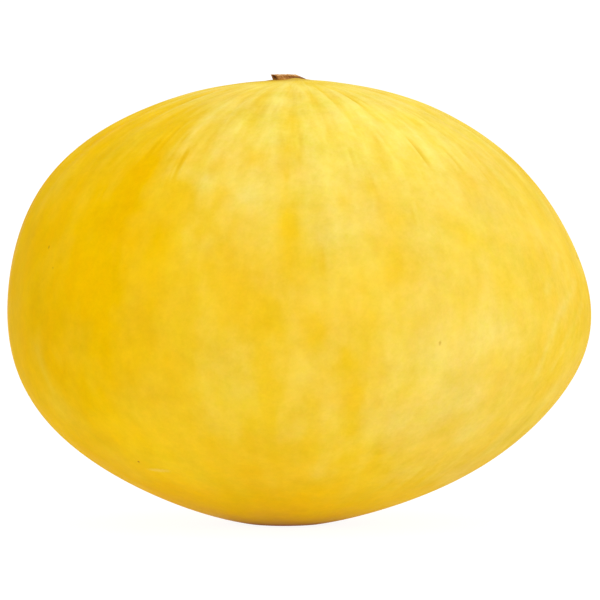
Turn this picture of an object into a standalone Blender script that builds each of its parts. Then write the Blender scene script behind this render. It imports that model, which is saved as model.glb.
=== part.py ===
"""Yellow honeydew melon, whole, resting on a small flat spot at its blossom end.

It is two pieces of different stuff: the fruit with its smooth waxy rind, and the dry
woody stub that is left of its stem.

Units are metres and +Z is up. The origin is on the resting surface, under the middle
of the fruit's box. Seen from the front, +X is to the right and +Y is away.
"""

import math
import random

import bmesh
import bpy

# The fruit's round form: half its height, and how far it reaches from the line between its poles
HALF_HEIGHT = 0.0711
LEFT_REACH = 0.0890
RIGHT_REACH = 0.0967
FRONT_DEPTH = 0.94
BACK_DEPTH = 0.91

# How each side's profile differs from an ellipse: shares of cos, cos^2, and so on
LEFT_PROFILE = (-0.028, 0.134, 0.196, -0.220, -0.072)
RIGHT_PROFILE = (-0.070, -0.168, 0.328, 0.292, -0.516, -0.268, 0.416)

# Where the two poles stand from left to right
STEM_POLE_X = -0.0032
BLOSSOM_POLE_X = -0.0042

# Mesh of the fruit: the last two rings before the blossom pole are the flat spot
SEGMENTS = 120
RINGS = 40
FLAT_RINGS = 2
FLAT_POLAR = math.pi * FLAT_RINGS / RINGS

# Soft ribs that run down from the stem end and die away below the shoulder
RIBS = 30
RIB_HEIGHT = 0.00020
RIB_SEED = 11
RIB_START = math.radians(5)
RIB_FULL = math.radians(20)
RIB_FADE = math.radians(45)
RIB_FAINT = math.radians(95)
RIB_END = math.radians(160)
FAINT_SHARE = 0.25

# The stem's stub: a flared foot on the fruit, and a flat cut a little to the left of it
STEM_SEGMENTS = 40
STEM_RINGS = 6
STEM_HEIGHT = 0.0016
STEM_FOOT_RADIUS = 0.0052
STEM_CUT_RADIUS = 0.0036
STEM_LEAN_X = -0.0014
STEM_ANGLES = 5
STEM_ANGLE_DEPTH = 0.10

# Two meshes that touch keep this gap
GAP = 0.0003


def clear_scene():
    for thing in list(bpy.data.objects):
        bpy.data.objects.remove(thing)


def smooth_step(start, end, value):
    """Goes smoothly from 0 at start to 1 at end."""
    share = min(max((value - start) / (end - start), 0.0), 1.0)
    return share * share * (3 - 2 * share)


def waves(seed, counts, height):
    """A few waves round the fruit, as (count, height, phase), which add up to an uneven one."""
    draw = random.Random(seed)
    return [(count, height * draw.uniform(0.5, 1.0), draw.uniform(0, math.tau)) for count in counts]


RIB_WANDER = waves(RIB_SEED, (2, 3, 5, 7), 1.1)
RIB_UNEVEN = waves(RIB_SEED + 1, (3, 4, 7, 11), 0.25)


def sum_of(parts, azimuth):
    return sum(height * math.sin(count * azimuth + phase) for count, height, phase in parts)


def rib_relief(polar, azimuth):
    """How far the rind stands out along a rib, or in between two of them."""
    start = smooth_step(RIB_START, RIB_FULL, polar)
    body = 1 - (1 - FAINT_SHARE) * smooth_step(RIB_FADE, RIB_FAINT, polar)
    end = 1 - smooth_step(RIB_FAINT, RIB_END, polar)
    uneven = 1 + sum_of(RIB_UNEVEN, azimuth)
    wave = math.cos(RIBS * azimuth + sum_of(RIB_WANDER, azimuth))
    return RIB_HEIGHT * start * body * end * uneven * wave


def reach(widest, profile, polar):
    """Distance of one side's profile from the line between the poles."""
    up = math.cos(polar)
    shape = 1 + sum(share * up ** (power + 1) for power, share in enumerate(profile))
    return widest * math.sin(polar) * shape


def rind_point(polar, azimuth):
    """Point of the rind. Polar is measured from the stem end, azimuth from the right-hand end."""
    up = math.cos(polar)
    left = reach(LEFT_REACH, LEFT_PROFILE, polar)
    right = reach(RIGHT_REACH, RIGHT_PROFILE, polar)
    radius = left + (right - left) * (1 + math.cos(azimuth)) / 2
    depth = (FRONT_DEPTH + BACK_DEPTH) / 2 + (BACK_DEPTH - FRONT_DEPTH) / 2 * math.sin(azimuth)
    pole_x = BLOSSOM_POLE_X + (STEM_POLE_X - BLOSSOM_POLE_X) * (1 + up) / 2
    x = radius * math.cos(azimuth)
    y = radius * math.sin(azimuth) * depth
    z = HALF_HEIGHT * up
    out = 1 + rib_relief(polar, azimuth) / math.sqrt(x * x + y * y + z * z)
    floor = HALF_HEIGHT * math.cos(FLAT_POLAR)
    return pole_x + x * out, y * out, max(z * out + floor, 0.0)


def make_fruit_mesh():
    """A round ball whose points are moved onto the rind, and centred over the origin."""
    ball = bmesh.new()
    bmesh.ops.create_uvsphere(ball, u_segments=SEGMENTS, v_segments=RINGS, radius=1.0)
    for point in ball.verts:
        polar = math.acos(min(max(point.co.z, -1.0), 1.0))
        azimuth = math.atan2(point.co.y, point.co.x)
        point.co = rind_point(polar, azimuth)
    across = [point.co.x for point in ball.verts]
    along = [point.co.y for point in ball.verts]
    middle = ((min(across) + max(across)) / 2, (min(along) + max(along)) / 2, 0.0)
    bmesh.ops.translate(ball, verts=ball.verts, vec=[-side for side in middle])
    mesh = bpy.data.meshes.new("melon")
    ball.to_mesh(mesh)
    ball.free()
    mesh.shade_smooth()
    return mesh, middle


def make_stem_mesh():
    """A short cylinder whose sides flare to the foot and have blunt angles, cut flat on top."""
    stub = bmesh.new()
    bmesh.ops.create_cone(
        stub,
        cap_ends=True,
        segments=STEM_SEGMENTS,
        radius1=STEM_FOOT_RADIUS,
        radius2=STEM_FOOT_RADIUS,
        depth=STEM_HEIGHT,
    )
    bmesh.ops.translate(stub, verts=stub.verts, vec=(0, 0, STEM_HEIGHT / 2))
    uprights = [edge for edge in stub.edges if abs(edge.verts[0].co.z - edge.verts[1].co.z) > GAP]
    bmesh.ops.subdivide_edges(stub, edges=uprights, cuts=STEM_RINGS - 1, use_grid_fill=True)
    for point in stub.verts:
        share = point.co.z / STEM_HEIGHT
        azimuth = math.atan2(point.co.y, point.co.x)
        flare = (1 - share) ** 2
        radius = STEM_CUT_RADIUS + (STEM_FOOT_RADIUS - STEM_CUT_RADIUS) * flare
        radius *= 1 + STEM_ANGLE_DEPTH * math.cos(STEM_ANGLES * azimuth)
        point.co.x = radius * math.cos(azimuth) + STEM_LEAN_X * (1 - flare)
        point.co.y = radius * math.sin(azimuth)
    mesh = bpy.data.meshes.new("stem")
    stub.to_mesh(mesh)
    stub.free()
    mesh.shade_smooth()
    mesh.set_sharp_from_angle(angle=math.radians(40))
    return mesh


def make_material(name, colour, roughness):
    material = bpy.data.materials.new(name)
    material.use_nodes = True
    shader = material.node_tree.nodes["Principled BSDF"]
    shader.inputs["Base Color"].default_value = (*colour, 1.0)
    shader.inputs["Roughness"].default_value = roughness
    shader.inputs["Metallic"].default_value = 0.0
    return material


def add_part(collection, mesh, material, place):
    mesh.materials.append(material)
    part = bpy.data.objects.new(mesh.name, mesh)
    part.location = place
    collection.objects.link(part)


clear_scene()
melon_parts = bpy.data.collections.new("honeydew_melon")
bpy.context.scene.collection.children.link(melon_parts)

rind = make_material("waxy_yellow_rind", (0.92, 0.60, 0.06), 0.42)
fruit_mesh, fruit_middle = make_fruit_mesh()
add_part(melon_parts, fruit_mesh, rind, (0.0, 0.0, 0.0))

dry_wood = make_material("dry_stem_wood", (0.33, 0.17, 0.07), 0.85)
crest = HALF_HEIGHT * (1 + math.cos(FLAT_POLAR))
stem_place = (STEM_POLE_X - fruit_middle[0], -fruit_middle[1], crest + GAP)
add_part(melon_parts, make_stem_mesh(), dry_wood, stem_place)
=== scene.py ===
"""The looks of a yellow honeydew melon: its rind, its dry stem, and a plain white studio."""

import math
import random

import bmesh
import bpy
import numpy as np
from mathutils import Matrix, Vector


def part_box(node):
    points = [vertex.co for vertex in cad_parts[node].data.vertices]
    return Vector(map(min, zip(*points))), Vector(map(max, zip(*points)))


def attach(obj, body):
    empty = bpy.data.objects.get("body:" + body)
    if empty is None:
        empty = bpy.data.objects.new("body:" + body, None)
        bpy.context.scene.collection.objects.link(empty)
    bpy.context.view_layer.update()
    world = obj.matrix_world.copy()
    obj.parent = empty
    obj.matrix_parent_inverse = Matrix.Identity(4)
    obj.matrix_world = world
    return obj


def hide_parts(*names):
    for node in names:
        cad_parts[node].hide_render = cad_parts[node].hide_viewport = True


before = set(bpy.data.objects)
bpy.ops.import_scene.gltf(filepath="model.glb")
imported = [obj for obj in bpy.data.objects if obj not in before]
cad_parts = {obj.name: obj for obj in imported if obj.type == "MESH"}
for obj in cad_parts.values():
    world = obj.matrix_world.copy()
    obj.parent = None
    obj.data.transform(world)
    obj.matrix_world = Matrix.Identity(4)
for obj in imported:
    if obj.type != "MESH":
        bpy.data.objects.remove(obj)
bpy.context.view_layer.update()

# The fruit
# A melon is one grown body. It swelled round from the flower, so its ribs, wrinkles and creases
# all run from the stem end towards the blossom end. It stands on the small spot that its own
# weight has pressed flat.
MM = 0.001
HALF_HEIGHT = 71.1 * MM
LEFT_REACH = 89.0 * MM
RIGHT_REACH = 96.7 * MM
FRONT_DEPTH = 0.94
BACK_DEPTH = 0.91
LEFT_PROFILE = (-0.028, 0.134, 0.196, -0.220, -0.072)
RIGHT_PROFILE = (-0.070, -0.168, 0.328, 0.292, -0.516, -0.268, 0.416)
STEM_POLE_X = -3.2 * MM
BLOSSOM_POLE_X = -4.2 * MM
FLAT_POLAR = math.radians(9)

# Soft ribs run down from the stem end and die away below the shoulder
RIBS = 30
RIB_HEIGHT = 0.20 * MM
RIB_START = math.radians(5)
RIB_FULL = math.radians(20)
RIB_FADE = math.radians(45)
RIB_FAINT = math.radians(95)
RIB_END = math.radians(160)
FAINT_SHARE = 0.25

# Finer wrinkles lie between them, as (how many round the fruit, height in mm, seed)
WRINKLES = ((53, 0.06, 21), (78, 0.04, 22), (101, 0.02, 23))
WRINKLE_START = math.radians(3)
WRINKLE_FULL = math.radians(9)
WRINKLE_FADE = math.radians(28)
WRINKLE_END = math.radians(66)
LUMP_HEIGHT = 0.12 * MM

# The mesh is finest round the stem, and finer around than down, because the creases run down
RIND_SEGMENTS = 600
RIND_RINGS = 164
RING_SHARES = (0.0, 0.15, 0.55, 0.94, 1.0)
RING_POLARS = np.radians((0, 10, 75, 168, 180))


def smooth_step(start, end, value):
    """Goes smoothly from 0 at start to 1 at end."""
    share = np.clip((value - start) / (end - start), 0.0, 1.0)
    return share * share * (3 - 2 * share)


def waves(seed, counts, height):
    """A few waves round the fruit, as (count, height, phase), which add up to an uneven one."""
    draw = random.Random(seed)
    return [(count, height * draw.uniform(0.5, 1.0), draw.uniform(0, math.tau)) for count in counts]


def sum_of(parts, azimuth):
    return sum(height * np.sin(count * azimuth + phase) for count, height, phase in parts)


RIB_WANDER = waves(11, (2, 3, 5, 7), 1.1)
RIB_UNEVEN = waves(12, (3, 4, 7, 11), 0.25)


def rib_relief(polar, azimuth):
    """How far the rind stands out along a rib, or in between two of them."""
    start = smooth_step(RIB_START, RIB_FULL, polar)
    body = 1 - (1 - FAINT_SHARE) * smooth_step(RIB_FADE, RIB_FAINT, polar)
    end = 1 - smooth_step(RIB_FAINT, RIB_END, polar)
    uneven = 1 + sum_of(RIB_UNEVEN, azimuth)
    wave = np.cos(RIBS * azimuth + sum_of(RIB_WANDER, azimuth))
    return RIB_HEIGHT * start * body * end * uneven * wave


def wrinkle_relief(polar, azimuth):
    """The wrinkles come and go along their length and stay near the stem."""
    near = smooth_step(WRINKLE_START, WRINKLE_FULL, polar)
    near = near * (1 - smooth_step(WRINKLE_FADE, WRINKLE_END, polar))
    total = 0.0
    for count, height, seed in WRINKLES:
        drift = sum_of(waves(seed, (2, 3, 5, 8), 0.9), azimuth + 0.6 * polar)
        gate = 0.5 + 0.5 * np.sin(5 * polar + 2.5 * drift + seed)
        total = total + height * MM * gate * np.cos(count * azimuth + 2.0 * drift)
    return near * total


def slow_lumps(polar, azimuth):
    """The rind is never quite round: shallow swellings a few centimetres across."""
    lump = np.sin(3 * azimuth + 2.0 * polar + 0.7) * np.sin(2.3 * polar)
    lump = lump + 0.7 * np.sin(5 * azimuth - 3.1 * polar + 2.2) * np.sin(polar) ** 2
    lump = lump + 0.5 * np.sin(7 * azimuth + 5.0 * polar + 4.1) * np.sin(polar) ** 2
    return LUMP_HEIGHT * lump * np.sin(polar)


# Creases, as (azimuth, first polar angle, last polar angle, half width, depth), in degrees and mm.
# The front ones are where they show plainest, and the others are spread all round.
FRONT_CREASES = [
    (-52, 38, 53, 0.6, 0.30), (-118, 42, 57, 0.55, 0.30), (-127.5, 32, 49, 0.7, 0.22),
    (-56, 19, 30, 0.7, 0.16), (-42, 43, 54, 0.7, 0.18), (-130, 37, 50, 0.7, 0.16),
    (-137, 55, 63, 0.7, 0.12), (-149, 15, 24, 0.7, 0.14), (-106, 19, 31, 0.7, 0.14),
    (-86, 36, 48, 0.7, 0.12), (-73, 42, 53, 0.7, 0.14), (-61, 35, 46, 0.7, 0.14),
    (-83, 71, 81, 0.9, 0.12), (-110.5, 31, 41, 0.7, 0.14), (-62.5, 59, 68, 0.8, 0.12),
    (-39, 16, 29, 0.7, 0.14),
]
CREASE_SEED = 31
CREASES_AROUND = 84
LIP_HEIGHT = 0.35
LIP_ASIDE = 2.2
crease_draw = random.Random(CREASE_SEED)
creases = list(FRONT_CREASES)
for _ in range(CREASES_AROUND):
    first = crease_draw.uniform(10, 50)
    last = first + crease_draw.uniform(7, 17)
    wide = crease_draw.uniform(0.6, 1.1)
    deep = crease_draw.uniform(0.03, 0.12)
    creases.append((crease_draw.uniform(-180, 180), first, last, wide, deep))


def crease_relief(polar, azimuth):
    """Narrow grooves down the rind, each between two low lips. Below zero is a groove."""
    total = np.zeros_like(polar)
    for line, first, last, half_width, depth in creases:
        share = (polar - math.radians(first)) / math.radians(last - first)
        fade = smooth_step(0, 0.3, share) * (1 - smooth_step(0.6, 1, share))
        turn = (azimuth - math.radians(line) + math.pi) % math.tau - math.pi
        aside = turn * np.sin(polar) * RIGHT_REACH / (half_width * MM)
        groove = np.exp(-aside ** 2) - LIP_HEIGHT * np.exp(-(np.abs(aside) - LIP_ASIDE) ** 2)
        total = total - depth * MM * fade * groove
    return total


def reach(widest, profile, polar):
    """Distance of one side's profile from the line between the poles."""
    up = np.cos(polar)
    shape = 1 + sum(share * up ** (power + 1) for power, share in enumerate(profile))
    return widest * np.sin(polar) * shape


def rind_points(polar, azimuth, relief):
    """Points of the rind. Polar is measured from the stem end, azimuth from the right-hand end."""
    up = np.cos(polar)
    left = reach(LEFT_REACH, LEFT_PROFILE, polar)
    right = reach(RIGHT_REACH, RIGHT_PROFILE, polar)
    radius = left + (right - left) * (1 + np.cos(azimuth)) / 2
    depth = (FRONT_DEPTH + BACK_DEPTH) / 2 + (BACK_DEPTH - FRONT_DEPTH) / 2 * np.sin(azimuth)
    pole_x = BLOSSOM_POLE_X + (STEM_POLE_X - BLOSSOM_POLE_X) * (1 + up) / 2
    x = radius * np.cos(azimuth)
    y = radius * np.sin(azimuth) * depth
    z = HALF_HEIGHT * up
    out = 1 + relief / np.sqrt(x * x + y * y + z * z)
    floor = HALF_HEIGHT * math.cos(FLAT_POLAR)
    return np.stack([pole_x + x * out, y * out, np.maximum(z * out + floor, 0.0)], 1)


def fit_to_box(points, low, high):
    """Moves and scales the points by a hair, so that they fill the box of the node they stand for."""
    low, high = np.array(low), np.array(high)
    lowest, highest = points.min(0), points.max(0)
    return low + (points - lowest) * (high - low) / (highest - lowest)


def new_object(name, shaped):
    """Makes an object of a bmesh and shades it smooth."""
    mesh = bpy.data.meshes.new(name)
    shaped.to_mesh(mesh)
    shaped.free()
    mesh.shade_smooth()
    made = bpy.data.objects.new(name, mesh)
    bpy.context.scene.collection.objects.link(made)
    return made


def near_place(points, place, across, up):
    """1 at a place on the rind, and softly down to 0 away from it. All lengths are in mm."""
    x, y, z = ((points - place) / MM).T
    return np.exp(-(x * x + y * y) / across ** 2 - (z / up) ** 2)


ball = bmesh.new()
bmesh.ops.create_uvsphere(ball, u_segments=RIND_SEGMENTS, v_segments=RIND_RINGS, radius=1.0)
unit = np.array([point.co for point in ball.verts])
ring_share = np.arccos(np.clip(unit[:, 2], -1.0, 1.0)) / math.pi
polar = np.interp(ring_share, RING_SHARES, RING_POLARS)
azimuth = np.arctan2(unit[:, 1], unit[:, 0])
ribs = rib_relief(polar, azimuth)
wrinkles = wrinkle_relief(polar, azimuth)
grooves = crease_relief(polar, azimuth)
relief = ribs + wrinkles + grooves + slow_lumps(polar, azimuth)
rind_low, rind_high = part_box("melon")
rind_at = fit_to_box(rind_points(polar, azimuth, relief), rind_low, rind_high)
crest = rind_at[np.argmin(polar)]

# The rind swells a little where it holds the stem, most of all in front, between two of its roots.
# There is a ring round the stem, and swells as (right, away, how far across, height), all in mm.
COLLAR_RADIUS = 5.6
COLLAR_WIDTH = 1.3
COLLAR_HEIGHT = 0.22
SWELLS = ((2.0, -3.9, 2.4, 0.65), (9.0, 0.0, 8.0, 0.25))
STEM_REGION_HEIGHT = 9.0
TOO_FAR = 99.0


def near_stem(right, away, across):
    """1 at a place beside the stem, and softly down to 0 away from it. All lengths are in mm."""
    return near_place(rind_at, crest + np.array((right, away, 0.0)) * MM, across, STEM_REGION_HEIGHT)


def aside_from(pole):
    """Level distance of each point of the rind from one of its poles, in mm."""
    return np.hypot(rind_at[:, 0] - pole[0], rind_at[:, 1] - pole[1]) / MM


stem_aside = np.where(polar < math.radians(20), aside_from(crest), TOO_FAR)
collar = COLLAR_HEIGHT * MM * np.exp(-((stem_aside - COLLAR_RADIUS) / COLLAR_WIDTH) ** 2)
swell = sum(height * MM * near_stem(right, away, across) for right, away, across, height in SWELLS)
rind_at[:, 2] += collar + swell

# The blossom's scar is a shallow corky dish inside the flat spot, with low rings in it
SCAR_RADIUS = 6.5
SCAR_EDGE = 1.6
SCAR_DEPTH = 0.35
SCAR_RING_HEIGHT = 0.12
blossom_end = rind_at[np.argmax(polar)]
scar_aside = np.where(polar > math.radians(160), aside_from(blossom_end), TOO_FAR)
dish = 1 - smooth_step(SCAR_RADIUS - SCAR_EDGE, SCAR_RADIUS, scar_aside)
scar_rings = 0.5 + 0.5 * np.cos(scar_aside * 2.2)
rind_at[:, 2] += MM * dish * (SCAR_DEPTH + SCAR_RING_HEIGHT * scar_rings)

for point, place in zip(ball.verts, rind_at):
    point.co = place
fruit = new_object("fruit", ball)


def on_rind(x, z, side):
    """The place on the rind at x and z in mm, on its front (side -1) or its back (side 1)."""
    facing = rind_at[:, 1] * side > -5 * MM
    off = (rind_at[:, 0] - x * MM) ** 2 + (rind_at[:, 2] - z * MM) ** 2
    return rind_at[np.argmin(np.where(facing, off, 1.0))]


# Soft patches of the front, as (x, z, how far across, how far up, how much paler), in mm.
# Ripening sun left them: deep golden ones are below zero, and pale lemon ones above.
PATCHES = [
    (-43, 94, 5, 10, -0.16), (22, 110, 4, 5, -0.16), (14, 106, 3, 3, -0.14), (28, 99, 6, 8, -0.14),
    (52, 95, 6, 5, -0.10), (-10, 71, 5, 9, -0.08), (-27, 98, 4, 9, -0.10), (49, 37, 4, 7, -0.08),
    (-3, 93, 5, 10, -0.12), (-34, 114, 3.5, 4, 0.10), (-29, 111, 3, 4, 0.20), (-17, 107, 5, 4, 0.18),
    (-24, 130, 4, 4, 0.12), (-21, 134, 4, 3, 0.12), (9, 96, 5, 4, 0.12), (16, 96, 4, 4, 0.10),
    (51, 61, 12, 11, 0.20), (50, 43, 9, 8, 0.18), (62, 65, 8, 8, 0.10), (29, 50, 6, 7, 0.08),
    (-26, 36, 6, 5, 0.08), (-60, 26, 12, 10, 0.06), (-46, 116, 9, 8, -0.08), (40, 36, 16, 10, 0.08),
    (29, 86, 6, 6, -0.16), (-28, 60, 12, 16, 0.03), (-37, 107, 5, 9, -0.18), (29, 39, 9, 8, 0.10),
    (-48, 39, 8, 9, 0.06), (-46, 69, 6, 16, -0.13), (-23, 108, 4, 5, -0.16), (-26, 116, 4, 4, -0.20),
    (-36, 118, 4, 4, -0.14), (28, 91, 5, 5, -0.14), (-13, 119, 4, 5, -0.20), (15, 125, 5, 5, -0.08),
    (-12, 131, 4, 4, 0.10), (-75, 40, 7, 8, 0.20), (-82, 57, 6, 9, 0.18), (52, 33, 6, 6, 0.20),
    (-16, 58, 5, 7, 0.13), (-34, 95, 5, 6, 0.10), (7, 15, 6, 5, -0.22), (6, 67, 4, 7, -0.13),
    (48, 94, 4, 4, 0.12), (-77, 109, 8, 8, 0.12), (37, 80, 5, 6, 0.09), (-51, 98, 4, 5, 0.08),
    (79, 45, 6, 8, 0.10), (53, 25, 8, 5, 0.06),
]
# Places of the front where the rind is brighter or duller, as (x, z, across, up, how much), in mm
BRIGHTER = [
    (-35, 95, 6, 7, 0.10), (-72, 109, 8, 8, -0.06), (36, 48, 7, 7, 0.06), (-50, 99, 5, 6, 0.05),
    (56, 101, 6, 8, -0.05), (-8, 105, 5, 5, -0.05), (-43, 111, 5, 5, 0.03), (-27, 49, 6, 7, 0.03),
    (-47, 42, 7, 7, 0.05), (-17, 60, 6, 8, 0.03), (66, 30, 8, 7, -0.05),
]
# Soft strokes of the front, as (how wide, how much paler, the places they pass through)
STROKES = [
    (9.0, -0.17, [(-36, 131), (-41, 125), (-48, 116), (-53, 106)]),
    (9.0, -0.06, [(-57, 99), (-60, 95), (-66, 84), (-67, 74)]),
    (4.0, -0.14, [(-38, 129), (-43, 123), (-47, 115)]),
    (14.0, -0.05, [(-62, 92), (-64, 76), (-55, 66)]),
    (3.2, -0.14, [(-4, 133), (-4, 121), (-4, 109), (-3, 97)]),
    (3.0, -0.08, [(14, 60), (15, 46), (16, 35)]),
    (2.4, 0.10, [(-40, 120), (-43, 113)]),
    (3.0, 0.10, [(-8, 137), (-7, 124)]),
    (6.0, 0.03, [(18, 134), (28, 130), (37, 120), (43, 109)]),
    (5.0, 0.07, [(-1, 49), (-1, 35)]),
    (1.5, 0.16, [(87, 79), (81, 70), (77, 59), (74, 50)]),
    (1.3, 0.12, [(89, 71), (84, 62), (79, 51)]),
    (1.3, 0.10, [(81, 87), (77, 77)]),
    (1.5, 0.12, [(-82, 59), (-80, 51), (-77, 45)]),
]
# Seeded patches for the sides and the back, which no photo shows
PATCH_SEED = 41
PATCHES_BEHIND = 46
patch_draw = random.Random(PATCH_SEED)
more_patches = []
for _ in range(PATCHES_BEHIND):
    wide = patch_draw.uniform(3, 11)
    tall = wide * patch_draw.uniform(0.9, 2.2)
    paler = patch_draw.choice((-1, 1)) * patch_draw.uniform(0.07, 0.2)
    more_patches.append((patch_draw.uniform(-80, 82), patch_draw.uniform(20, 128), wide, tall, paler))


def to_segment(points, start, end):
    """Distance of each point from a straight line between two places."""
    along = end - start
    share = np.clip(((points - start) @ along) / (along @ along), 0.0, 1.0)
    return np.linalg.norm(points - start - share[:, None] * along, axis=1)


def lay_patches(values, patches, side):
    """Adds soft patches to one value of the rind: each is (x, z, across, up, how much), in mm."""
    for x, z, wide, tall, much in patches:
        values += much * near_place(rind_at, on_rind(x, z, side), wide, tall)


# Paleness from the blunt end to the pointed one, and what the top adds to it, as (x in mm, paleness).
# The pale of the right end and of the top is partly a painted sheen, where soft light would gloss the wax
PALE_ACROSS = ((-93, 0.20), (-80, 0.21), (-55, 0.34), (-25, 0.52), (5, 0.57), (45, 0.71), (93, 0.60))
PALE_ON_TOP = ((-60, 0.04), (-25, 0.27), (15, 0.28), (45, 0.13), (70, 0.08))
# Patches beside the stem, as (right, away, how far across, how much paler), in mm
STEM_PATCHES = ((8, -10, 7, -0.22), (-6, -8, 4, -0.18), (0, -16, 5, 0.12))
across_mm, up_mm = rind_at[:, 0] / MM, rind_at[:, 2] / MM
upper = smooth_step(70, 130, up_mm)
paleness = np.interp(across_mm, *zip(*PALE_ACROSS))
paleness += upper * np.interp(across_mm, *zip(*PALE_ON_TOP))
# It deepens towards the ground in two steps, a broad soft one and a low strong one, partly a painted shade
# of the underside
paleness -= 0.10 * (1 - smooth_step(15, 45, up_mm)) + 0.42 * (1 - smooth_step(3, 19, up_mm))
lay_patches(paleness, PATCHES, -1)
lay_patches(paleness, more_patches, 1)
for wide, paler, line in STROKES:
    stops = [on_rind(x, z, -1) for x, z in line]
    nearest = np.full(len(rind_at), 1.0)
    for start, end in zip(stops, stops[1:]):
        nearest = np.minimum(nearest, to_segment(rind_at, start, end))
    paleness += paler * np.exp(-(nearest / (wide * MM)) ** 2)
for right, away, wide, paler in STEM_PATCHES:
    paleness += paler * near_stem(right, away, wide)

# Crests of ribs and wrinkles are paler in broken lines, a painted light, and grooves deeper in colour, a
# painted shade
DEEP_GROOVE = 0.30 * MM
broken = 0.5 + 0.5 * np.sin(8 * polar + sum_of(waves(61, (4, 9, 14), 1.5), azimuth))
shoulder = 1 - smooth_step(math.radians(30), math.radians(60), polar)
paleness += (0.03 + 0.11 * broken * shoulder) * ribs / RIB_HEIGHT + 0.03 * wrinkles / (0.10 * MM)
paleness += 0.16 * np.clip(grooves / DEEP_GROOVE, -1.0, 1.0)


def give(made, name, values):
    """Keeps one number for each point of a mesh, for its material to read."""
    kept = made.data.attributes.new(name, "FLOAT", "POINT")
    kept.data.foreach_set("value", np.asarray(values, np.float32))


give(fruit, "paleness", paleness)

# How far the hue leans to green on the top, as (x in mm, share), and broad patches of the front that
# lean to green or to orange, as (x, z, how far across, how far up, how much greener), in mm
GREEN_ON_TOP = ((-45, 0.0), (0, 0.5), (35, 1.0), (60, 0.3), (80, -0.4))
GREENER = ((31, 122, 20, 12, 0.6), (45, 44, 30, 22, -0.8), (-48, 108, 16, 18, -0.8))
greenness = 0.9 * upper * np.interp(across_mm, *zip(*GREEN_ON_TOP))
lay_patches(greenness, GREENER, -1)
# Next to the ground it leans to orange, partly a painted shade of the underside
greenness -= 0.5 * (1 - smooth_step(6, 30, up_mm))
give(fruit, "greenness", greenness)
brightness = np.ones(len(rind_at))
lay_patches(brightness, BRIGHTER, -1)
give(fruit, "brightness", brightness)

# Distance from the stem along the rind, whose arc is a little longer than that of a ball
ARC_STRETCH = 1.15
give(fruit, "down", polar * HALF_HEIGHT * ARC_STRETCH)

# Painted shade, mixed into the colour towards dark brown: next to the ground, as (how dark, over how many
# mm up), then at the blunt end, on the left below the top, and low on the two flanks
GROUND_SHADE = ((0.72, 2.5), (0.32, 9))
END_SHADE = 0.05
LEFT_SHADE = 0.045
FLANK_SHADE = 0.08
painted_shade = sum(dark * np.exp(-up_mm / over) for dark, over in GROUND_SHADE) * (1 - dish)
painted_shade += END_SHADE * (1 - smooth_step(-92, -68, across_mm))
painted_shade += LEFT_SHADE * (1 - smooth_step(-74, -48, across_mm)) * (1 - upper)
painted_shade += FLANK_SHADE * (1 - smooth_step(6, 36, up_mm)) * smooth_step(25, 60, np.abs(across_mm))
give(fruit, "painted_shade", painted_shade)
# Painted shade in the grooves, fullest in the deepest ones
give(fruit, "groove", np.clip(-grooves / DEEP_GROOVE, 0.0, 1.0) ** 1.4)

# Cork and a painted shadow: rings of cork round the stem, as (radius, half width, how much), the stem's
# painted shadow on its left, and the cork of the scar
CORK_RINGS = ((COLLAR_RADIUS, 1.1, 0.55), (7.2, 1.0, 0.22))
cork_and_shadow = sum(much * np.exp(-((stem_aside - radius) / half) ** 2) for radius, half, much in CORK_RINGS)
# The stem's painted shadow, falling on the rind to its left
cork_and_shadow += 0.45 * near_stem(-9.5, 0.0, 5.0)
cork_and_shadow += 0.8 * dish
give(fruit, "cork_and_shadow", np.clip(cork_and_shadow, 0.0, 1.0))


def linear(code):
    """An sRGB hex colour as the linear values that a shader takes."""
    parts = [int(code[start:start + 2], 16) / 255 for start in (1, 3, 5)]
    return (*(part / 12.92 if part <= 0.04045 else ((part + 0.055) / 1.055) ** 2.4 for part in parts), 1.0)


def add(tree, kind, inputs=None, **settings):
    """Adds one node. An input's value is a number, or the output that feeds it."""
    node = tree.nodes.new(kind)
    for name, value in settings.items():
        setattr(node, name, value)
    for name, value in (inputs or {}).items():
        if isinstance(value, bpy.types.NodeSocket):
            tree.links.new(value, node.inputs[name])
        else:
            node.inputs[name].default_value = value
    return node


# Rind of a ripe yellow honeydew. Carotene colours it, golden where the sun ripened it and pale
# lemon elsewhere, in soft blotches and in streaks along the meridians; the pale on the top and the
# right end is partly a painted sheen. A thin bloom of wax lies on it, which gives the eye a broad
# and very low gloss.
rind = bpy.data.materials.new("ripe_honeydew_rind")
rind.use_nodes = True
tree = rind.node_tree
shader = tree.nodes["Principled BSDF"]
place = add(tree, "ShaderNodeTexCoord").outputs["Object"]
split = add(tree, "ShaderNodeSeparateXYZ", {0: place})
patches = add(tree, "ShaderNodeAttribute", attribute_name="paleness")

# The direction round the fruit, as a place on a circle, the way down it from the stem, and how near
# the top that is
outward = add(tree, "ShaderNodeCombineXYZ", {"X": split.outputs["X"], "Y": split.outputs["Y"]})
heading = add(tree, "ShaderNodeVectorMath", {0: outward.outputs[0]}, operation="NORMALIZE")
down = add(tree, "ShaderNodeAttribute", attribute_name="down")
near_top = add(tree, "ShaderNodeMapRange", {
    "Value": down.outputs["Fac"], "From Min": 45 * MM, "From Max": 110 * MM, "To Min": 1.0, "To Max": 0.35},
    interpolation_type="SMOOTHSTEP")
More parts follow.
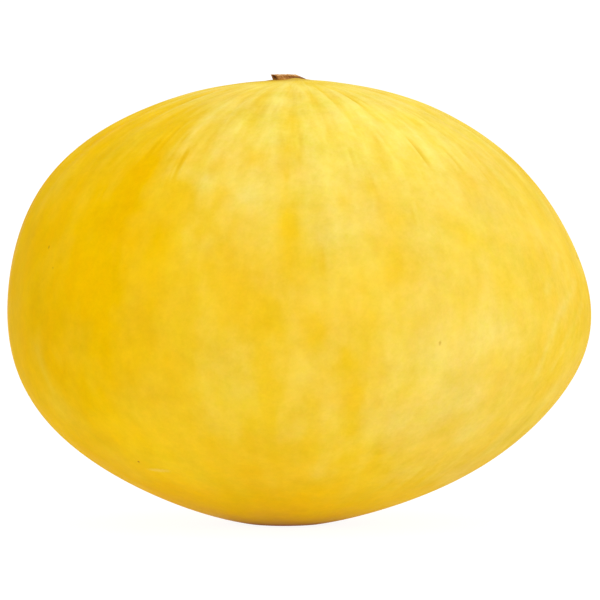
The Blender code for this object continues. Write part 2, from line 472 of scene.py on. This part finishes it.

# Streaks down the meridians, as (width at the widest part, length, detail, swing of the colour, whether
# they fade away from the stem), in mm. The short ones also swing the brightness, a painted light and
# shade of the ribs.
STREAKS = ((5.0, 13, 2.0, 0.11, True), (12, 45, 1.0, 0.06, False))
WIDEST_RADIUS = 90
PAINTED_STREAK_LIGHT = 0.30
total = patches.outputs["Fac"]
for width, length, detail, swing, fades in STREAKS:
    around = add(tree, "ShaderNodeVectorMath", {
        0: heading.outputs[0], "Scale": WIDEST_RADIUS / width}, operation="SCALE")
    drop = add(tree, "ShaderNodeMath", {0: down.outputs["Fac"], 1: 1 / (length * MM)}, operation="MULTIPLY")
    drop = add(tree, "ShaderNodeCombineXYZ", {"Z": drop.outputs[0]})
    grid = add(tree, "ShaderNodeVectorMath", {0: around.outputs[0], 1: drop.outputs[0]}, operation="ADD")
    streak = add(tree, "ShaderNodeTexNoise", {
        "Vector": grid.outputs[0], "Scale": 1.0, "Detail": detail, "Roughness": 0.5})
    streak = add(tree, "ShaderNodeMapRange", {
        "Value": streak.outputs[0], "From Min": 0.25, "From Max": 0.75, "To Min": -swing, "To Max": swing})
    if fades:
        streak = add(tree, "ShaderNodeMath", {
            0: streak.outputs[0], 1: near_top.outputs[0]}, operation="MULTIPLY")
        # Painted light and shade along the short streaks
        painted_streak_light = add(tree, "ShaderNodeMath", {
            0: streak.outputs[0], 1: PAINTED_STREAK_LIGHT, 2: 1.0}, operation="MULTIPLY_ADD")
    total = add(tree, "ShaderNodeMath", {0: total, 1: streak.outputs[0]}, operation="ADD").outputs[0]

# Round blotches, as (size in mm, swing of the colour)
BLOTCHES = ((17, 0.06), (5, 0.02))
for size, swing in BLOTCHES:
    blotch = add(tree, "ShaderNodeTexNoise", {
        "Vector": place, "Scale": 1 / (size * MM), "Detail": 1.0, "Roughness": 0.5, "Distortion": 0.2})
    blotch = add(tree, "ShaderNodeMapRange", {
        "Value": blotch.outputs[0], "From Min": 0.25, "From Max": 0.75, "To Min": -swing, "To Max": swing})
    total = add(tree, "ShaderNodeMath", {0: total, 1: blotch.outputs[0]}, operation="ADD").outputs[0]

# From deep gold to pale lemon
RIND_COLOURS = ((0.0, "#ECB800"), (0.22, "#EBBD00"), (0.5, "#E9C227"), (1.0, "#ECD76C"))
ramp = add(tree, "ShaderNodeValToRGB", {"Fac": total})
ramp.color_ramp.elements.remove(ramp.color_ramp.elements[1])
ramp.color_ramp.elements[0].color = linear(RIND_COLOURS[0][1])
for position, code in RIND_COLOURS[1:]:
    ramp.color_ramp.elements.new(position).color = linear(code)

# The hue leans to green near the stem and to orange and cream lower down, and drifts over 3 cm. The
# greenest rind, the lemon shoulder, is also made the brightest, partly paler rind and partly a painted
# highlight.
drift = add(tree, "ShaderNodeTexNoise", {"Vector": place, "Scale": 1 / (30 * MM), "Detail": 1.0})
drift = add(tree, "ShaderNodeMapRange", {
    "Value": drift.outputs[0], "From Min": 0.3, "From Max": 0.7, "To Min": -0.4, "To Max": 0.4})
lean = add(tree, "ShaderNodeAttribute", attribute_name="greenness")
lean = add(tree, "ShaderNodeMath", {0: lean.outputs["Fac"], 1: drift.outputs[0]}, operation="ADD")
lean = add(tree, "ShaderNodeMapRange", {"Value": lean.outputs[0], "From Min": -1.0, "From Max": 1.0})
# Painted highlight, in part: the greenest rind is brightened by up to about 5 per cent
lemon_and_highlight = add(tree, "ShaderNodeMapRange", {
    "Value": lean.outputs[0], "From Min": 0.72, "From Max": 1.0, "To Min": 1.0, "To Max": 1.055})
tint = add(tree, "ShaderNodeValToRGB", {"Fac": lean.outputs[0]})
tint.color_ramp.elements[0].color = linear("#FFF7F4")
tint.color_ramp.elements[1].color = linear("#FFFFF4")
colour = add(tree, "ShaderNodeMix", {0: 1.0, 6: ramp.outputs["Color"], 7: tint.outputs["Color"]},
             data_type="RGBA", blend_type="MULTIPLY").outputs[2]

# Fine mottling at every scale from 25 mm down: most of it is light and dark, and some of it is hue.
# It multiplies the colour, so that MOTTLE_HUE and MOTTLE_LIGHT are shares of red, green and blue, and
# MOTTLE_BASE brings their mean back to 1.
MOTTLE_HUE = (0.50, 0.28, 1.5)
MOTTLE_LIGHT = (0.0, 0.48, 1.5)
MOTTLE_BASE = (0.75, 0.63, -0.5)
mottle = add(tree, "ShaderNodeTexNoise", {
    "Vector": place, "Scale": 1 / (25 * MM), "Detail": 6.0, "Roughness": 0.85})
hue = add(tree, "ShaderNodeVectorMath", {
    0: mottle.outputs["Color"], 1: MOTTLE_HUE, 2: MOTTLE_BASE}, operation="MULTIPLY_ADD")
light = add(tree, "ShaderNodeVectorMath", {0: MOTTLE_LIGHT, "Scale": mottle.outputs[0]}, operation="SCALE")
mottle = add(tree, "ShaderNodeVectorMath", {0: hue.outputs[0], 1: light.outputs[0]}, operation="ADD")
# The streaks' painted light and shade, the lemon shoulder's painted highlight and the brightness of places
# all scale the mottling
bright = add(tree, "ShaderNodeAttribute", attribute_name="brightness")
for strength in (painted_streak_light.outputs[0], lemon_and_highlight.outputs[0], bright.outputs["Fac"]):
    mottle = add(tree, "ShaderNodeVectorMath", {0: mottle.outputs[0], "Scale": strength}, operation="SCALE")
colour = add(tree, "ShaderNodeMix", {0: 1.0, 6: colour, 7: mottle.outputs[0]},
             data_type="RGBA", blend_type="MULTIPLY").outputs[2]

# The grooves get a painted shade of darker olive, and the underside, the blunt end and the low flanks a
# painted shade of dark brown. Cork is brown, where the rind meets the stem and round the blossom's scar,
# and a painted shadow of the stem falls on the rind to its left.
OVERLAYS = (("groove", 0.42, "#C09A1C"), ("painted_shade", 1.0, "#6A1C00"), ("cork_and_shadow", 1.0, "#A77322"))
for name, strength, code in OVERLAYS:
    overlay = add(tree, "ShaderNodeAttribute", attribute_name=name)
    overlay = add(tree, "ShaderNodeMath", {0: overlay.outputs["Fac"], 1: strength}, operation="MULTIPLY")
    colour = add(tree, "ShaderNodeMix", {0: overlay.outputs[0], 6: colour, 7: linear(code)},
                 data_type="RGBA").outputs[2]

# Small healed marks and two long pale dashes, as (x, z, side, radius in mm, how many times as wide, colour,
# strength)
MARKS = [
    (88, 85, -1, 1.5, 1.0, "#B58A4E", 0.55), (-50, 23, -1, 0.7, 1.0, "#9C4A10", 0.8),
    (-44, 21, -1, 0.7, 9.0, "#EFD070", 0.3), (-78, 90, -1, 0.7, 1.0, "#B07F14", 0.6),
    (-77, 84, -1, 0.6, 1.0, "#B07F14", 0.5), (43, 63, -1, 0.9, 0.7, "#B88A20", 0.5),
    (30, 88, 1, 1.6, 1.0, "#B58A4E", 0.5), (-52, 60, 1, 0.8, 1.0, "#9C5A18", 0.6),
    (8, 44, 1, 0.8, 6.0, "#EFD898", 0.4), (-20, 104, 1, 0.7, 1.0, "#B07F14", 0.5),
    (60, 52, 1, 0.7, 1.0, "#B07F14", 0.5),
]
RAGGED_SIZE = 0.8 * MM
RAGGED_SHIFT = 1.2 * MM
ragged = add(tree, "ShaderNodeTexNoise", {"Vector": place, "Scale": 1 / RAGGED_SIZE, "Detail": 2.0})
ragged = add(tree, "ShaderNodeVectorMath", {
    0: ragged.outputs["Color"], 1: (0.5, 0.5, 0.5)}, operation="SUBTRACT")
ragged = add(tree, "ShaderNodeVectorMath", {0: ragged.outputs[0], "Scale": RAGGED_SHIFT}, operation="SCALE")
ragged = add(tree, "ShaderNodeVectorMath", {0: place, 1: ragged.outputs[0]}, operation="ADD")
for x, z, side, radius, stretch, code, strength in MARKS:
    away = add(tree, "ShaderNodeVectorMath", {
        0: ragged.outputs[0], 1: tuple(on_rind(x, z, side))}, operation="SUBTRACT")
    away = add(tree, "ShaderNodeVectorMath", {
        0: away.outputs[0], 1: (1 / stretch, 1 / stretch, 1.0)}, operation="MULTIPLY")
    away = add(tree, "ShaderNodeVectorMath", {0: away.outputs[0]}, operation="LENGTH")
    inside = add(tree, "ShaderNodeMapRange", {
        "Value": away.outputs["Value"], "From Min": 0.3 * radius * MM, "From Max": radius * MM,
        "To Min": strength, "To Max": 0.0}, interpolation_type="SMOOTHSTEP")
    colour = add(tree, "ShaderNodeMix", {0: inside.outputs[0], 6: colour, 7: linear(code)},
                 data_type="RGBA").outputs[2]
tree.links.new(colour, shader.inputs["Base Color"])

# The wax is a matt bloom, rubbed a little smoother in places, over fine pores
WAX_IOR = 1.45
bloom = add(tree, "ShaderNodeTexNoise", {"Vector": place, "Scale": 1 / (9 * MM), "Detail": 3.0})
bloom = add(tree, "ShaderNodeMapRange", {
    "Value": bloom.outputs[0], "From Min": 0.3, "From Max": 0.7, "To Min": 0.44, "To Max": 0.56})
tree.links.new(bloom.outputs[0], shader.inputs["Roughness"])
shader.inputs["IOR"].default_value = WAX_IOR
shader.inputs["Specular IOR Level"].default_value = 0.006
pores = add(tree, "ShaderNodeTexNoise", {"Vector": place, "Scale": 1 / (1.0 * MM), "Detail": 3.0})
bump = add(tree, "ShaderNodeBump", {"Height": pores.outputs[0], "Strength": 0.15, "Distance": 0.15 * MM})
tree.links.new(bump.outputs["Normal"], shader.inputs["Normal"])

fruit.data.materials.append(rind)
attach(fruit, "root")
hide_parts("melon")

# The stem
# What is left of the stem is a dry woody stub. Bundles of fibre run up its sides and spread into
# five roots that grip the fruit. Its top is a flat cut, pale inside and dark at the rim.
# All its lengths are in mm.
STEM_AROUND = 200
SIDE_RINGS = 30
CUT_RINGS = 20
FOOT_X, FOOT_RADIUS = -3.4, 4.1
CUT_X, CUT_RADIUS = -5.15, 3.8
SUNK = 0.5
WAIST = 0.35
FIBRE_RELIEF = 0.07
# Roots, as (line in degrees, reach)
ROOTS = ((8, 2.1), (72, 1.5), (122, 1.4), (172, 0.9), (245, 1.3))
ROOT_WIDTH = math.radians(25)
# A band of painted shade down the left side of the stem, as its line and width
STEM_SHADE_LINE = math.radians(208)
STEM_SHADE_WIDTH = 0.26
# Cracks of the cut face, as (line in degrees, the share of the radius at which they start)
CRACKS = ((28, 0.35), (101, 0.2), (167, 0.5), (229, 0.15), (298, 0.4))
CRACK_WIDTH = 0.06
CRACK_DEPTH = 0.30
PITH_DEPTH = 0.35
CUT_DISH = 0.12

stem_height = (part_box("stem")[1].z - crest[2]) / MM
turns = np.linspace(0, math.tau, STEM_AROUND, endpoint=False)


def apart(angles, line):
    """How far each angle is from a line, the short way round."""
    return np.abs((angles - line + math.pi) % math.tau - math.pi)


root_shares = [np.exp(-(apart(turns, math.radians(root[0])) / ROOT_WIDTH) ** 2) for root in ROOTS]
root_share = np.max(root_shares, axis=0)
root_reach = np.max([share * root[1] for share, root in zip(root_shares, ROOTS)], axis=0)
fibre = sum_of(waves(51, (19, 31, 47, 62), 1.0), turns) / 2.2
foot_radius = FOOT_RADIUS + root_reach
cut_radius = CUT_RADIUS * (1 + 0.04 * root_share + 0.012 * fibre)
ragged_rim = np.maximum(0.08 + 0.06 * sum_of(waves(52, (3, 7, 13, 24), 0.5), turns), 0.0)

# Rings up the side, then rings inwards over the cut. A tone is 0 for dark wood and 1 for pale. Its
# darkening between the roots, in a band down the left side and low on the right root is painted shade,
# and so is the thinner cork there; its pale towards the rim of the cut, most on the right, is a painted
# highlight. Feet are 1 where golden cork covers the wood.
rings, tones, feet = [], [], []
for share in np.linspace(0, 1, SIDE_RINGS):
    height = share * (stem_height + SUNK) - SUNK
    up = max(height / stem_height, 0.0)
    bundles = FIBRE_RELIEF * fibre * np.cos(3 * up + turns * 2)
    radius = foot_radius + (cut_radius - foot_radius) * up
    radius = radius - WAIST * (1 - root_share) * math.sin(math.pi * min(up, 1.0)) + bundles
    middle = FOOT_X + (CUT_X - FOOT_X) * up
    level = height - ragged_rim * up ** 4
    rings.append((middle + radius * np.cos(turns), radius * np.sin(turns), level))
    # Painted shade down the left side and low on the right root, and a painted highlight towards the rim of
    # the cut
    stem_shade_band = np.exp(-(apart(turns, STEM_SHADE_LINE) / STEM_SHADE_WIDTH) ** 2) * (1 - up ** 4)
    painted_rim_light = smooth_step(0.72 - 0.35 * np.exp(-(apart(turns, 0.0) / 0.8) ** 2), 1.0, up)
    right_root_shade = np.exp(-(apart(turns, 0.0) / 0.9) ** 2) * (1 - up)
    tone = 0.56 + 0.14 * fibre - 0.16 * (1 - root_share)
    tone = tone - 0.42 * stem_shade_band - 0.30 * right_root_shade + 0.5 * painted_rim_light
    tones.append(np.clip(tone, 0.0, 1.0))
    feet.append((1 - smooth_step(0.0, 0.45, up)) * (1 - 0.6 * right_root_shade))
for share in np.linspace(0.97, 0.06, CUT_RINGS):
    inner = smooth_step(0.0, 0.2, 1 - share)
    pith = 1 - smooth_step(0.10, 0.24, share)
    cracked = np.max([
        np.exp(-(apart(turns, math.radians(line + 9 * math.sin(9 * share))) / CRACK_WIDTH) ** 2)
        * smooth_step(first, first + 0.25, share) for line, first in CRACKS], axis=0)
    cracked = cracked * (1 - 0.5 * smooth_step(0.7, 1.0, share))
    level = stem_height - ragged_rim * (1 - inner)
    level = level - CUT_DISH * inner - CRACK_DEPTH * cracked - PITH_DEPTH * pith
    radius = cut_radius * share
    rings.append((CUT_X + radius * np.cos(turns), radius * np.sin(turns), level))
    # The cut is dark at its rim and in the pith, and darker in its cracks, a painted shade
    rim = smooth_step(0.84, 0.93, share)
    tone = 0.86 + 0.06 * math.cos(share * 40) + 0.05 * fibre
    tone = tone - 0.3 * rim - 0.5 * cracked - 0.25 * pith
    tones.append(np.clip(tone + np.zeros(STEM_AROUND), 0.0, 1.0))
    feet.append(np.zeros(STEM_AROUND))

stub = bmesh.new()
rows = []
for ring in rings:
    points = zip(*(side + np.zeros(STEM_AROUND) for side in ring))
    rows.append([stub.verts.new((x * MM, y * MM + crest[1], z * MM + crest[2])) for x, y, z in points])
for below, above in zip(rows, rows[1:]):
    for this in range(STEM_AROUND):
        after = (this + 1) % STEM_AROUND
        stub.faces.new((below[this], below[after], above[after], above[this]))
stub.faces.new(rows[0][::-1])
stub.faces.new(rows[-1])
stem = new_object("stem_stub", stub)
give(stem, "tone", np.concatenate(tones))
give(stem, "foot", np.concatenate(feet))

# Dry melon stem: a soft wood that has gone grey and brown in the air. Its fibres catch the light
# one by one, the fresh cut is the colour of straw, and where it meets the fruit it is golden cork.
wood = bpy.data.materials.new("dry_fibrous_stem")
wood.use_nodes = True
tree = wood.node_tree
shader = tree.nodes["Principled BSDF"]
place = add(tree, "ShaderNodeTexCoord").outputs["Object"]
along = add(tree, "ShaderNodeVectorMath", {0: place, 1: (1.0, 1.0, 0.3)}, operation="MULTIPLY")
strand = add(tree, "ShaderNodeTexNoise", {
    "Vector": along.outputs[0], "Scale": 1 / (0.45 * MM), "Detail": 4.0, "Roughness": 0.65})
strand = add(tree, "ShaderNodeMapRange", {
    "Value": strand.outputs[0], "From Min": 0.3, "From Max": 0.7, "To Min": -0.16, "To Max": 0.16})
pale = add(tree, "ShaderNodeAttribute", attribute_name="tone")
pale = add(tree, "ShaderNodeMath", {0: pale.outputs["Fac"], 1: strand.outputs[0]}, operation="ADD")
WOOD_COLOURS = ((0.0, "#3B1D0B"), (0.3, "#7A4A1E"), (0.55, "#AD7438"), (0.82, "#D6A568"), (1.0, "#E8C69C"))
grain = add(tree, "ShaderNodeValToRGB", {"Fac": pale.outputs[0]})
grain.color_ramp.elements.remove(grain.color_ramp.elements[1])
grain.color_ramp.elements[0].color = linear(WOOD_COLOURS[0][1])
for position, code in WOOD_COLOURS[1:]:
    grain.color_ramp.elements.new(position).color = linear(code)
foot = add(tree, "ShaderNodeAttribute", attribute_name="foot")
foot = add(tree, "ShaderNodeMath", {0: foot.outputs["Fac"], 1: 0.75}, operation="MULTIPLY")
colour = add(tree, "ShaderNodeMix", {0: foot.outputs[0], 6: grain.outputs["Color"], 7: linear("#BF8426")},
             data_type="RGBA")
tree.links.new(colour.outputs[2], shader.inputs["Base Color"])
shader.inputs["Roughness"].default_value = 0.85
shader.inputs["IOR"].default_value = 1.5
shader.inputs["Specular IOR Level"].default_value = 0.2
bump = add(tree, "ShaderNodeBump", {"Height": strand.outputs[0], "Strength": 0.5, "Distance": 0.1 * MM})
tree.links.new(bump.outputs["Normal"], shader.inputs["Normal"])

stem.data.materials.append(wood)
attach(stem, "root")
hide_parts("stem")

# The studio
# A large white table, lit through from below so that the fruit throws next to no shadow on it.
TABLE_HALF_SIDE = 25.0
TABLE_GLOW = 0.93
table = bmesh.new()
bmesh.ops.create_grid(table, x_segments=1, y_segments=1, size=TABLE_HALF_SIDE)
floor = new_object("table_top", table)
opal = bpy.data.materials.new("opal_white_table")
opal.use_nodes = True
shader = opal.node_tree.nodes["Principled BSDF"]
shader.inputs["Base Color"].default_value = linear("#6E6E6E")
shader.inputs["Roughness"].default_value = 0.9
shader.inputs["Specular IOR Level"].default_value = 0.0
shader.inputs["Emission Color"].default_value = (1.0, 1.0, 1.0, 1.0)
shader.inputs["Emission Strength"].default_value = TABLE_GLOW
floor.data.materials.append(opal)

# The room is white low down all round. Higher up it is brightest overhead, in front and on the
# right, where one big soft light stands as well. Its glows are shares of full white.
BRIGHT_SIDE = (0.50, -0.42, 0.75)
BRIGHT_SIDE_GLOW = 1.17
FAR_SIDE_GLOW = 0.40
LOW_GLOW = 1.02
OVERHEAD_GLOW = 0.23
room = bpy.data.worlds.new("white_room")
room.use_nodes = True
sky = room.node_tree
sky.nodes["Background"].inputs["Color"].default_value = (1.0, 1.0, 1.0, 1.0)
way = add(sky, "ShaderNodeTexCoord").outputs["Generated"]
toward = add(sky, "ShaderNodeVectorMath", {0: way, 1: BRIGHT_SIDE}, operation="DOT_PRODUCT")
high_up = add(sky, "ShaderNodeMapRange", {
    "Value": toward.outputs["Value"], "From Min": -1.0, "From Max": 1.0,
    "To Min": FAR_SIDE_GLOW, "To Max": BRIGHT_SIDE_GLOW})
height = add(sky, "ShaderNodeSeparateXYZ", {0: way})
low_down = add(sky, "ShaderNodeMapRange", {
    "Value": height.outputs["Z"], "From Min": 0.04, "From Max": 0.22}, interpolation_type="SMOOTHSTEP")
glow = add(sky, "ShaderNodeMix", {
    0: low_down.outputs[0], 2: LOW_GLOW, 3: high_up.outputs[0]}, data_type="FLOAT")
overhead = add(sky, "ShaderNodeMapRange", {
    "Value": height.outputs["Z"], "From Min": 0.45, "From Max": 1.0, "To Min": 0.0, "To Max": OVERHEAD_GLOW},
    interpolation_type="SMOOTHSTEP")
glow = add(sky, "ShaderNodeMath", {0: glow.outputs[0], 1: overhead.outputs[0]}, operation="ADD")
sky.links.new(glow.outputs[0], sky.nodes["Background"].inputs["Strength"])
bpy.context.scene.world = room

KEY_PLACE = (0.9, -0.9, 1.1)
KEY_SIZE = 0.9
KEY_POWER = 1.5
softbox = bpy.data.lights.new("softbox", "AREA")
softbox.shape = "DISK"
softbox.size = KEY_SIZE
softbox.energy = KEY_POWER
key = bpy.data.objects.new("softbox", softbox)
key.location = KEY_PLACE
key.rotation_euler = ((rind_low + rind_high) / 2 - key.location).to_track_quat("-Z", "Y").to_euler()
bpy.context.scene.collection.objects.link(key)

# The camera stands well back with a long lens, a little above the top of the fruit.
CAMERA_DISTANCE = 2.2
CAMERA_ELEVATION = math.radians(3.0)
CAMERA_X = 0.25 * MM
FRAME_WIDTH = 190.9 * MM
AIM_HEIGHT = 71.42 * MM
lens = bpy.data.cameras.new("long_lens")
lens.sensor_width = 36.0
lens.lens = lens.sensor_width * CAMERA_DISTANCE / FRAME_WIDTH
lens.clip_end = 60.0
camera = bpy.data.objects.new("camera", lens)
back = CAMERA_DISTANCE * math.cos(CAMERA_ELEVATION)
camera.location = (CAMERA_X, -back, AIM_HEIGHT + CAMERA_DISTANCE * math.sin(CAMERA_ELEVATION))
camera.rotation_euler = (math.pi / 2 - CAMERA_ELEVATION, 0.0, 0.0)
bpy.context.scene.collection.objects.link(camera)
bpy.context.scene.camera = camera
bpy.context.scene.view_settings.view_transform = "Standard"
